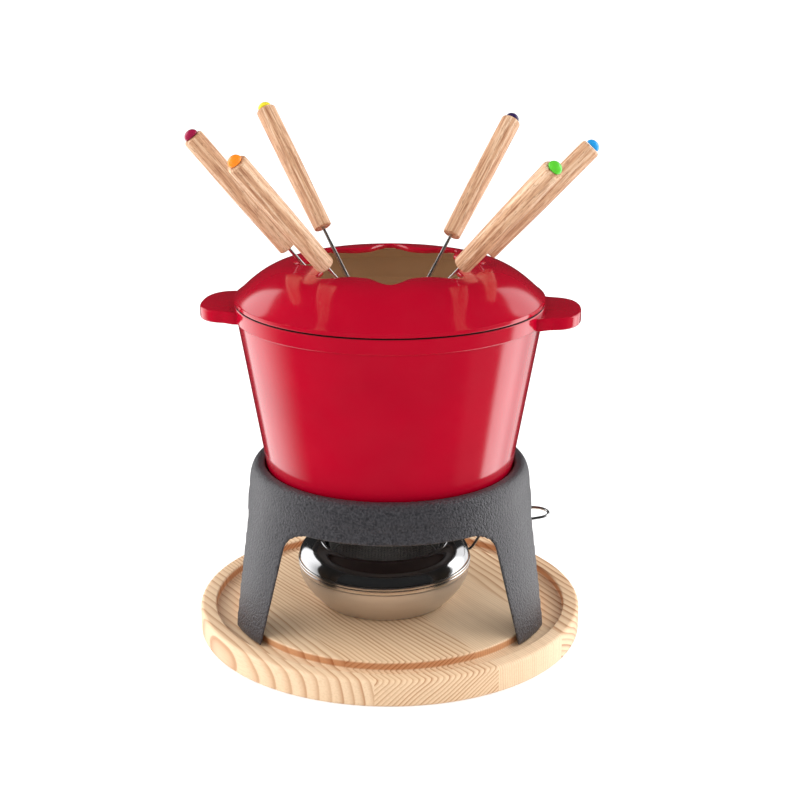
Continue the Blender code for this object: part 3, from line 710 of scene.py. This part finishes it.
def make_ear(name):
    """A plate whose edge is rounded above and below."""
    outline = [Vector(point) for point in ear_outline()]
    count = len(outline)
    inwards = []
    for i, here in enumerate(outline):
        along = (outline[(i + 1) % count] - outline[i - 1]).normalized()
        inwards.append(Vector((-along.y, along.x)))
    shape = bmesh.new()
    edge = 1.3 * MM
    half = EAR_THICKNESS / 2
    levels = []
    for degrees in (0, 18, 36, 54, 72, 90):
        angle = math.radians(degrees)
        levels.append((edge * (1 - math.sin(angle)), half - edge + edge * math.cos(angle)))
    levels += [(inset, -height) for inset, height in reversed(levels)]
    rings = []
    for inset, height in levels:
        places = [here + inwards[i] * inset for i, here in enumerate(outline)]
        rings.append([shape.verts.new((*place, height)) for place in places])
    skin(shape, rings)
    shape.faces.new(rings[0])
    shape.faces.new(rings[-1][::-1])
    return finished(shape, name)


def make_pot():
    floor = POT_BOTTOM + POT_FLOOR
    collar = POT_SEAM - COLLAR_HEIGHT
    profile = rounded([
        (0.0, floor, 0.0),
        (pot_inner(floor), floor, 10.0 * MM),
        (pot_inner(collar), collar, 3.0 * MM),
        (POT_RIM_INNER, collar + 4.0 * MM, 1.5 * MM),
        (POT_RIM_INNER, POT_SEAM, 0.8 * MM),
        (COLLAR_RADIUS, POT_SEAM, 1.3 * MM),
        (COLLAR_RADIUS, collar, 0.9 * MM),
        (SHOULDER_RADIUS, collar, 0.5 * MM),
        (pot_outer(POT_BOTTOM), POT_BOTTOM, 10.0 * MM),
        (0.0, POT_BOTTOM, 0.0),
    ], 8)
    pot = lathe("pot_enamelled", profile, 256)
    for side in range(2):
        ear = make_ear(f"ear_{side + 1}")
        ear.rotation_euler[2] = math.pi * side
        ear.location[2] = EAR_TOP - EAR_THICKNESS / 2
        combine(pot, ear, "UNION")
    bpy.context.view_layer.update()
    apply_modifiers(pot)
    mesh = pot.data
    mesh.shade_smooth()
    mesh.set_sharp_from_angle(angle=SHARP_ANGLE)
    # Chips in the enamel where each ear meets the collar: place and radius
    spots = [
        ((-97.5 * MM, -26.2 * MM, POT_SEAM - 4.2 * MM), 1.3 * MM),
        ((99.0 * MM, -21.8 * MM, POT_SEAM - 4.6 * MM), 0.8 * MM),
    ]
    red = enamel("red_enamel", RED, RED_DARK, spots)
    beige = enamel("beige_enamel", BEIGE, BEIGE_DARK)
    piece(pot, "pot", "enamel", [red, beige, seam_shade_and_black_base()], "pot")
    # The rim faces at the seam get the matt black that paints the shade of the gap; the underside gets it
    # too; the inside is beige
    for face in mesh.polygons:
        place = face.center
        radius = math.hypot(place.x, place.y)
        under = place.z < POT_BOTTOM + 1.5 * MM
        if under or place.z > POT_SEAM - 0.4 * MM and radius > POT_RIM_INNER + 0.4 * MM:
            face.material_index = 2
        elif place.z > floor - 0.1 * MM and radius < max(pot_inner(place.z), 0.0) + 1.6 * MM:
            face.material_index = 1
        else:
            face.material_index = 0
    mesh.transform(Matrix.Rotation(POT_TURN, 4, "Z"))


# ---- Fork ring ----

def ring_top(radius):
    across = (radius - RING_CREST) / (COLLAR_RADIUS - RING_CREST)
    across = min(max(across, 0.0), 1.0)
    return RING_EDGE_TOP + (RING_LIP - RING_EDGE_TOP) * (1.0 - across ** 3.0) ** 1.19


def opening_radius(azimuth):
    wave = (1.0 + math.cos(RING_NOTCHES * azimuth)) / 2
    return RING_CREST + RING_NOTCH * wave ** RING_NOTCH_POWER


def ring_section(inside):
    """One section of the ring with its opening at the inside radius: over the top, down the edge and back."""
    lip = RING_THICKNESS / 2
    lip_centre = (inside + lip, ring_top(inside + lip) - lip)
    points = arc(lip_centre, lip, 180.0, 100.0, 4) + [(inside + lip, ring_top(inside + lip))]
    steps = 34
    for i in range(1, steps):
        share = math.sin(math.pi / 2 * i / steps)
        radius = inside + lip + (COLLAR_RADIUS - inside - lip) * share
        points.append((radius, ring_top(radius)))
    edge = 1.2 * MM
    points.append((COLLAR_RADIUS, ring_top(COLLAR_RADIUS)))
    points += arc((COLLAR_RADIUS - edge, RING_BOTTOM + edge), edge, 0.0, -90.0, 6)
    points += [(SPIGOT_OUTER, RING_BOTTOM), (SPIGOT_OUTER, RING_BOTTOM - SPIGOT_DEPTH)]
    points.append((SPIGOT_INNER, RING_BOTTOM - SPIGOT_DEPTH))
    steps = 18
    for i in range(steps + 1):
        share = i / steps
        radius = SPIGOT_INNER + (inside + lip - SPIGOT_INNER) * share
        points.append((radius, ring_top(radius) - RING_THICKNESS))
    return points + arc(lip_centre, lip, 250.0, 210.0, 2)


def make_ring():
    segments = 384
    shape = bmesh.new()
    spokes = []
    for k in range(segments):
        azimuth = 2.0 * math.pi * k / segments
        across, along = math.cos(azimuth), math.sin(azimuth)
        section = ring_section(opening_radius(azimuth))
        spokes.append([shape.verts.new((r * across, r * along, z)) for r, z in section])
    skin(shape, spokes, closed=True)
    ring = finished(shape, "ring_enamelled")
    red = enamel("ring_red_enamel", RED, RED_DARK)
    beige = enamel("ring_beige_enamel", BEIGE, BEIGE_DARK)
    piece(ring, "splash_ring", "ring_enamel", [red, beige, seam_shade_and_black_base()], "splash_ring")
    # The low faces of the ring's outer edge get the matt black that paints the shade of the seam's gap; the
    # underside inside the spigot is beige
    for face in ring.data.polygons:
        place = face.center
        radius = math.hypot(place.x, place.y)
        if radius > SPIGOT_OUTER - 0.2 * MM and place.z < RING_BOTTOM + 0.35 * MM:
            face.material_index = 2
        elif radius < SPIGOT_OUTER - 0.1 * MM and place.z < ring_top(radius) - 0.85 * RING_THICKNESS:
            face.material_index = 1


# ---- Forks ----

def make_fork(seed, colour, azimuth, radius, height, lean_azimuth, lean, roll, tint):
    heading = math.radians(azimuth)
    top = Vector((radius * math.cos(heading), radius * math.sin(heading), height))
    heading = math.radians(lean_azimuth)
    tilt = math.radians(lean)
    along = Vector((math.sin(tilt) * math.cos(heading), math.sin(tilt) * math.sin(heading), math.cos(tilt)))
    level = Vector((-math.sin(heading), math.cos(heading), 0.0))
    across = Matrix.Rotation(math.radians(roll), 3, along) @ level
    turn = Matrix((across, along.cross(across), along)).transposed().to_4x4()
    place = Matrix.Translation(top - along * HANDLE_LENGTH) @ turn
    body = f"fork_{colour}"

    length = HANDLE_LENGTH
    profile = [(0.0, length, 0.0), (HANDLE_RADIUS, length, 2.0 * MM), (HANDLE_RADIUS, length * 0.5, 8.0 * MM)]
    profile += [(HANDLE_END_RADIUS, 0.0, 1.0 * MM), (TANG_RADIUS + 0.2 * MM, 0.0, 0.2 * MM)]
    profile += [(TANG_RADIUS + 0.2 * MM, 26.0 * MM, 0.0), (0.0, 26.0 * MM, 0.0)]
    grip = lathe(f"{body}_grip", rounded(profile), FORK_SEGMENTS)
    grip.matrix_world = place
    piece(grip, body, "handle_wood", [handle_wood(seed)], f"{body}_handle")

    tip = HANDLE_LENGTH - FORK_LENGTH
    crotch = tip + TINE_LENGTH
    rod = lathe(f"{body}_rod", rounded([
        (0.0, 25.0 * MM, 0.0),
        (TANG_RADIUS, 25.0 * MM, 0.0),
        (TANG_RADIUS, -1.0 * MM, 20.0 * MM),
        (SHAFT_RADIUS, -SHAFT_NECK, 20.0 * MM),
        (SHAFT_RADIUS, crotch, 0.6 * MM),
        (0.0, crotch - 1.5 * MM, 0.0),
    ]), 24)
    levels = (tip, tip + 1.5 * MM, tip + 7.0 * MM)
    path = [(-TINE_SPREAD, 0.0, level) for level in levels]
    path += [(x, 0.0, z) for x, z in arc((0.0, crotch - TINE_SPREAD), TINE_SPREAD, 180.0, 0.0, 16)]
    path += [(TINE_SPREAD, 0.0, level) for level in reversed(levels)]
    radii = [0.25 * MM, 0.45 * MM] + [TINE_RADIUS] * (len(path) - 4) + [0.45 * MM, 0.25 * MM]
    combine(rod, tube(f"{body}_tines", path, radii), "UNION")
    bpy.context.view_layer.update()
    apply_modifiers(rod)
    rod.data.shade_smooth()
    rod.data.set_sharp_from_angle(angle=SHARP_ANGLE)
    rod.matrix_world = place
    piece(rod, body, "fork_steel", [FORK_STEEL], f"{body}_shaft")

    dome = [(0.0, BEAD_HEIGHT)]
    for i in range(1, 13):
        angle = math.radians(90.0 * i / 12)
        dome.append((BEAD_RADIUS * math.sin(angle), 0.5 * MM + (BEAD_HEIGHT - 0.5 * MM) * math.cos(angle)))
    dome += arc((BEAD_RADIUS - 0.5 * MM, 0.5 * MM), 0.5 * MM, -15.0, -90.0, 5) + [(0.0, 0.0)]
    cap = lathe(f"{body}_bead", dome, FORK_SEGMENTS)
    cap.matrix_world = place @ Matrix.Translation((0.0, 0.0, HANDLE_LENGTH + GAP))
    piece(cap, body, f"cap_{colour}", [bead(colour, tint)], f"{body}_cap")


# ---- Burner ----

def at_burner(item, azimuth=0.0):
    item.matrix_world = Matrix.Translation(BURNER) @ Matrix.Rotation(azimuth, 4, "Z")
    return item


def make_burner():
    band_bottom = BOWL_HEIGHT + GAP
    band_top = band_bottom + BAND_HEIGHT
    cover_bottom = band_top + GAP

    outer = []
    steps = 24
    for i in range(steps + 1):
        share = i / steps
        swell = math.sin(math.pi / 2 * share)
        outer.append((BOWL_FOOT + (BOWL_RADIUS - BOWL_FOOT) * swell, BOWL_HEIGHT * share))
    inner = [(r - SHEET, z) for r, z in outer if z > SHEET]
    bowl = [(0.0, SHEET), (BOWL_FOOT - SHEET, SHEET)] + inner + outer[::-1]
    bowl += [(BOWL_FOOT - 2.0 * MM, 0.0), (BOWL_FOOT - 3.0 * MM, 0.6 * MM), (0.0, 0.6 * MM)]
    piece(at_burner(lathe("burner_bowl_spun", bowl)), "burner", "bowl_steel",
          [spun("bowl_steel", (0.86, 0.83, 0.82), 0.42, 2600.0, 0.05 * MM, 0.75)], "burner_bowl")

    wall = BOWL_RADIUS - SHEET
    rim = BOWL_RADIUS + BAND_OUT
    band = rounded([
        (wall, band_top, 0.0), (rim, band_top, 0.7 * MM), (rim, band_top - 2.0 * MM, 0.2 * MM),
        (rim - 0.35 * MM, band_top - 2.4 * MM, 0.15 * MM), (rim, band_top - 2.8 * MM, 0.2 * MM),
        (rim, band_bottom, 0.9 * MM), (wall, band_bottom, 0.0),
    ], 5)
    piece(at_burner(lathe("burner_band_spun", band, closed=True)), "regulator", "band_steel",
          [spun("band_steel", (0.78, 0.76, 0.74), 0.20, 3000.0, 0.03 * MM)], "burner_regulator")

    rise = COVER_TOP - cover_bottom
    run = BOWL_RADIUS - COVER_RIM
    dome = []
    under = []
    steps = 20
    for i in range(steps + 1):
        angle = math.radians(90.0 * i / steps)
        dome.append((COVER_RIM + run * math.cos(angle), cover_bottom + (rise - 0.5 * MM) * math.sin(angle)))
        under.append((COVER_RIM + (run - SHEET) * math.cos(angle),
                      cover_bottom + (rise - 0.5 * MM - SHEET) * math.sin(angle)))
    bead_radius = (COVER_RIM - COVER_OPENING) / 2
    bead_centre = (COVER_OPENING + bead_radius, COVER_TOP - bead_radius)
    lip = arc(bead_centre, bead_radius, 40.0, 180.0, 10)
    neck = COVER_TOP - COVER_NECK
    turned_in = [(COVER_OPENING, neck), (COVER_OPENING + SHEET, neck)]
    turned_in.append((COVER_OPENING + SHEET, COVER_TOP - 2.4 * MM))
    cover = dome + lip + turned_in + under[::-1]
    piece(at_burner(lathe("burner_cover_spun", cover, closed=True)), "burner", "cover_steel",
          [spun("cover_steel", (0.62, 0.62, 0.63), 0.10, 3200.0, 0.012 * MM)], "burner_cover")

    cup_bottom = SHEET + GAP
    hollow = CUP_RADIUS - CUP_WALL
    cup = rounded([
        (0.0, cup_bottom + CUP_WALL, 0.0),
        (hollow, cup_bottom + CUP_WALL, 1.5 * MM),
        (hollow, CUP_HEIGHT, 0.4 * MM),
        (CUP_RADIUS, CUP_HEIGHT, 0.4 * MM),
        (CUP_RADIUS, cup_bottom, 2.0 * MM),
        (0.0, cup_bottom, 0.0),
    ])
    piece(at_burner(lathe("burner_cup_drawn", cup, 128)), "burner", "cup_steel",
          [spun("cup_steel", (0.42, 0.40, 0.38), 0.34, 2200.0, 0.04 * MM)], "burner_cup")
    make_wadding(hollow - 0.4 * MM, cup_bottom + CUP_WALL + GAP)
    make_gauze(hollow - 0.4 * MM)
    make_loop(band_bottom + BAND_HEIGHT / 2)


def make_wadding(radius, bottom):
    """A packed fibre pad with an uneven top."""
    profile = [(0.0, WADDING_TOP)]
    profile += [(radius * i / 24, WADDING_TOP) for i in range(1, 24)]
    profile += rounded([(radius - 1.5 * MM, WADDING_TOP, 0.0), (radius, WADDING_TOP, 1.2 * MM),
                        (radius, bottom, 1.0 * MM), (0.0, bottom, 0.0)])
    pad = lathe("burner_wadding_fibre", profile, 96)
    for vertex in pad.data.vertices:
        if vertex.co.z > WADDING_TOP - 2.0 * MM:
            sink = 0.5 + 0.5 * noise.fractal(vertex.co * 160.0, 1.0, 2.0, 4)
            vertex.co.z -= 1.2 * MM * min(max(sink, 0.0), 1.0)
    piece(at_burner(pad), "burner", "wadding", [wadding()], "burner_wadding")


def make_gauze(radius):
    """Woven wires in two directions inside a rim wire."""
    pitch = 2.2 * MM
    thick = 0.24 * MM
    wave = 0.24 * MM
    middle = GAUZE_BOTTOM + GAUZE_THICKNESS / 2
    rim = radius - 0.45 * MM
    shape = bmesh.new()
    count = int(rim / pitch)
    for turned_round in (False, True):
        for line in range(-count, count + 1):
            offset = line * pitch
            half = math.sqrt(rim * rim - offset * offset)
            steps = max(2, int(2 * half / (pitch / 2)))
            ring_before = None
            for i in range(steps + 1):
                run = -half + 2.0 * half * i / steps
                lift = wave * math.cos(math.pi * (run / pitch + line)) * (-1.0 if turned_round else 1.0)
                ring_here = []
                for k in range(6):
                    angle = math.pi / 3 * k
                    side = offset + thick * math.cos(angle)
                    level = middle + lift + thick * math.sin(angle) * 0.9
                    point = (run, side, level) if not turned_round else (side, run, level)
                    ring_here.append(shape.verts.new(point))
                if ring_before:
                    skin(shape, [ring_before, ring_here])
                ring_before = ring_here
    gauze = finished(shape, "burner_gauze_woven")
    circle = [(rim * math.cos(math.pi * k / 48), rim * math.sin(math.pi * k / 48), middle) for k in range(96)]
    border = tube("burner_gauze_border", circle, [0.44 * MM] * 96, 8, loop=True)
    steel = drawn("gauze_steel", (0.5, 0.5, 0.5), 0.35)
    piece(at_burner(gauze), "burner", "gauze", [steel], "burner_gauze")
    piece(at_burner(border), "burner", "gauze", [steel], "burner_gauze")


def make_loop(band_height):
    start = BOWL_RADIUS + BAND_OUT + GAP
    reach = LOOP_REACH - WIRE_RADIUS
    bend = LOOP_HALF_WIDTH
    side = []
    steps = 24
    for i in range(steps + 1):
        share = i / steps
        rise = share * share * (3.0 - 2.0 * share)
        side.append((start + LOOP_BEND * share, band_height + (LOOP_RISE - band_height) * rise))
    path = [(x, -bend, z) for x, z in side]
    path += [(x, y, LOOP_RISE) for x, y in arc((reach - bend, 0.0), bend, -90.0, 90.0, 32)]
    path += [(x, bend, z) for x, z in reversed(side)]
    loop = tube("burner_loop_wire", path, [WIRE_RADIUS] * len(path), 16)
    steel = drawn("wire", (0.66, 0.66, 0.66), 0.22)
    piece(at_burner(loop, LOOP_AZIMUTH), "regulator", "wire", [steel], "burner_handle")


# ---- Stage, light and camera ----

def make_stage():
    shape = bmesh.new()
    corners = [(x * FLOOR_HALF, y * FLOOR_HALF) for x, y in ((-1, -1), (1, -1), (1, 1), (-1, 1))]
    shape.faces.new([shape.verts.new((x, y, 0.0)) for x, y in corners])
    floor = finished(shape, "floor")
    white = Surface("pale_floor", 0.9, specular=0.0)
    white.set("Base Color", FLOOR_WHITE)
    white.set("Emission Color", (1.0, 1.0, 1.0, 1.0))
    white.set("Emission Strength", FLOOR_GLOW)
    floor.data.materials.append(white.material)
    floor.visible_glossy = False


def light_side(name, place, target, power):
    """A rectangular lamp aimed at a point. It lights, but neither mirrors nor the camera see it."""
    data = bpy.data.lights.new(name, "AREA")
    data.shape = "RECTANGLE"
    data.size = SIDE_LAMP_WIDTH
    data.size_y = SIDE_LAMP_HEIGHT
    data.energy = power
    lamp = bpy.data.objects.new(name, data)
    bpy.context.scene.collection.objects.link(lamp)
    lamp.location = place
    lamp.rotation_euler = (Vector(target) - Vector(place)).to_track_quat("-Z", "Y").to_euler()
    lamp.visible_camera = False
    lamp.visible_glossy = False


def light_inside():
    """A weak lamp low in the pot stands for the light that falls in from above."""
    data = bpy.data.lights.new("inner_lamp", "POINT")
    data.energy = INNER_LAMP_POWER
    data.shadow_soft_size = INNER_LAMP_RADIUS
    lamp = bpy.data.objects.new("inner_lamp", data)
    bpy.context.scene.collection.objects.link(lamp)
    lamp.location = INNER_LAMP_PLACE
    lamp.visible_camera = False
    lamp.visible_glossy = False


# Soft boxes as mirrors see them: strength, then the front, back, bottom and top edge in degrees
BOXES = [
    (1.7, (-80.0, -124.0), (-150.0, -146.0), (-75.0, -60.0), (36.0, 33.0)),
    (0.15, (62.0, 75.0), (152.0, 148.0), (-75.0, -60.0), (36.0, 33.0)),
    (1.1, (97.0, 105.0), (152.0, 148.0), (-75.0, -60.0), (36.0, 33.0)),
    (1.5, (97.0, 105.0), (135.0, 118.0), (-75.0, -60.0), (36.0, 33.0)),
]


class Sky:
    """The studio round the object, as light by direction. Azimuth is 0 at the front, negative to the left."""

    def __init__(self):
        world = bpy.data.worlds.new("studio")
        world.use_nodes = True
        bpy.context.scene.world = world
        self.tree = world.node_tree
        self.background = self.tree.nodes["Background"]
        self.background.inputs["Color"].default_value = (1.0, 1.0, 1.0, 1.0)
        self.path = self.tree.nodes.new("ShaderNodeLightPath").outputs
        split = self.tree.nodes.new("ShaderNodeSeparateXYZ")
        self.tree.links.new(self.tree.nodes.new("ShaderNodeTexCoord").outputs["Generated"], split.inputs[0])
        self.x, self.y, self.z = split.outputs
        self.azimuth = self.math("ARCTAN2", self.x, self.math("MULTIPLY", self.y, -1.0))
        self.elevation = self.math("ARCSINE", self.z)

    def math(self, operation, first, second=0.0, third=0.0):
        made = self.tree.nodes.new("ShaderNodeMath")
        made.operation = operation
        for socket, value in zip(made.inputs, (first, second, third)):
            feed(self.tree, socket, value)
        return made.outputs[0]

    def step(self, value, start, end):
        """0 before start and 1 after end, both in degrees, and smooth between."""
        made = self.tree.nodes.new("ShaderNodeMapRange")
        made.interpolation_type = "SMOOTHSTEP"
        self.tree.links.new(value, made.inputs[0])
        rising = end > start
        made.inputs[1].default_value = math.radians(min(start, end))
        made.inputs[2].default_value = math.radians(max(start, end))
        made.inputs[3].default_value = 0.0 if rising else 1.0
        made.inputs[4].default_value = 1.0 if rising else 0.0
        return made.outputs[0]

    def box(self, strength, inner, outer, low, high):
        """A soft box between two azimuths and two elevations. An edge gives where it starts and is full."""
        sides = self.math("MULTIPLY", self.step(self.azimuth, *inner), self.step(self.azimuth, *outer))
        ends = self.math("MULTIPLY", self.step(self.elevation, *low), self.step(self.elevation, *high))
        return self.math("MULTIPLY", self.math("MULTIPLY", sides, ends), strength)

    def side(self, value, sign, strength):
        """Light that grows towards one side."""
        facing = self.math("MAXIMUM", self.math("MULTIPLY", value, sign), 0.0)
        return self.math("MULTIPLY", self.math("MULTIPLY", facing, facing), strength)


def make_world():
    """Light from all round. What mirrors see is kept apart: dark, with soft boxes at both sides."""
    sky = Sky()
    ambient = AMBIENT
    sides = [(sky.x, -1.0, 2.4), (sky.x, 1.0, 2.3), (sky.z, 1.0, 0.85), (sky.y, 1.0, 0.6), (sky.y, -1.0, 0.3)]
    for value, sign, strength in sides:
        ambient = sky.math("ADD", sky.side(value, sign, strength), ambient)
    mirrored = MIRRORED
    for box in BOXES:
        mirrored = sky.math("ADD", sky.box(*box), mirrored)
    glossy = sky.path["Is Glossy Ray"]
    light = sky.math("ADD", sky.math("MULTIPLY", mirrored, glossy),
                     sky.math("MULTIPLY", ambient, sky.math("SUBTRACT", 1.0, glossy)))
    light = sky.math("MAXIMUM", light, sky.path["Is Camera Ray"])
    sky.tree.links.new(light, sky.background.inputs["Strength"])


def make_camera():
    data = bpy.data.cameras.new("camera")
    data.lens = CAMERA_LENS
    data.sensor_width = CAMERA_SENSOR
    data.shift_x = CAMERA_SHIFT
    camera = bpy.data.objects.new("camera", data)
    bpy.context.scene.collection.objects.link(camera)
    camera.location = CAMERA_PLACE
    camera.rotation_euler = (math.radians(90.0) - CAMERA_DIP, 0.0, 0.0)
    bpy.context.scene.camera = camera


FORK_STEEL = drawn("fork_steel", (0.72, 0.71, 0.70), 0.26)
bpy.context.scene.view_settings.view_transform = "Standard"
make_board()
make_stand()
make_pot()
make_ring()
for number, fork in enumerate(FORKS):
    make_fork(number, *fork)
make_burner()
make_stage()
make_world()
make_camera()
for side_lamp in SIDE_LAMPS:
    light_side(*side_lamp)
light_inside()
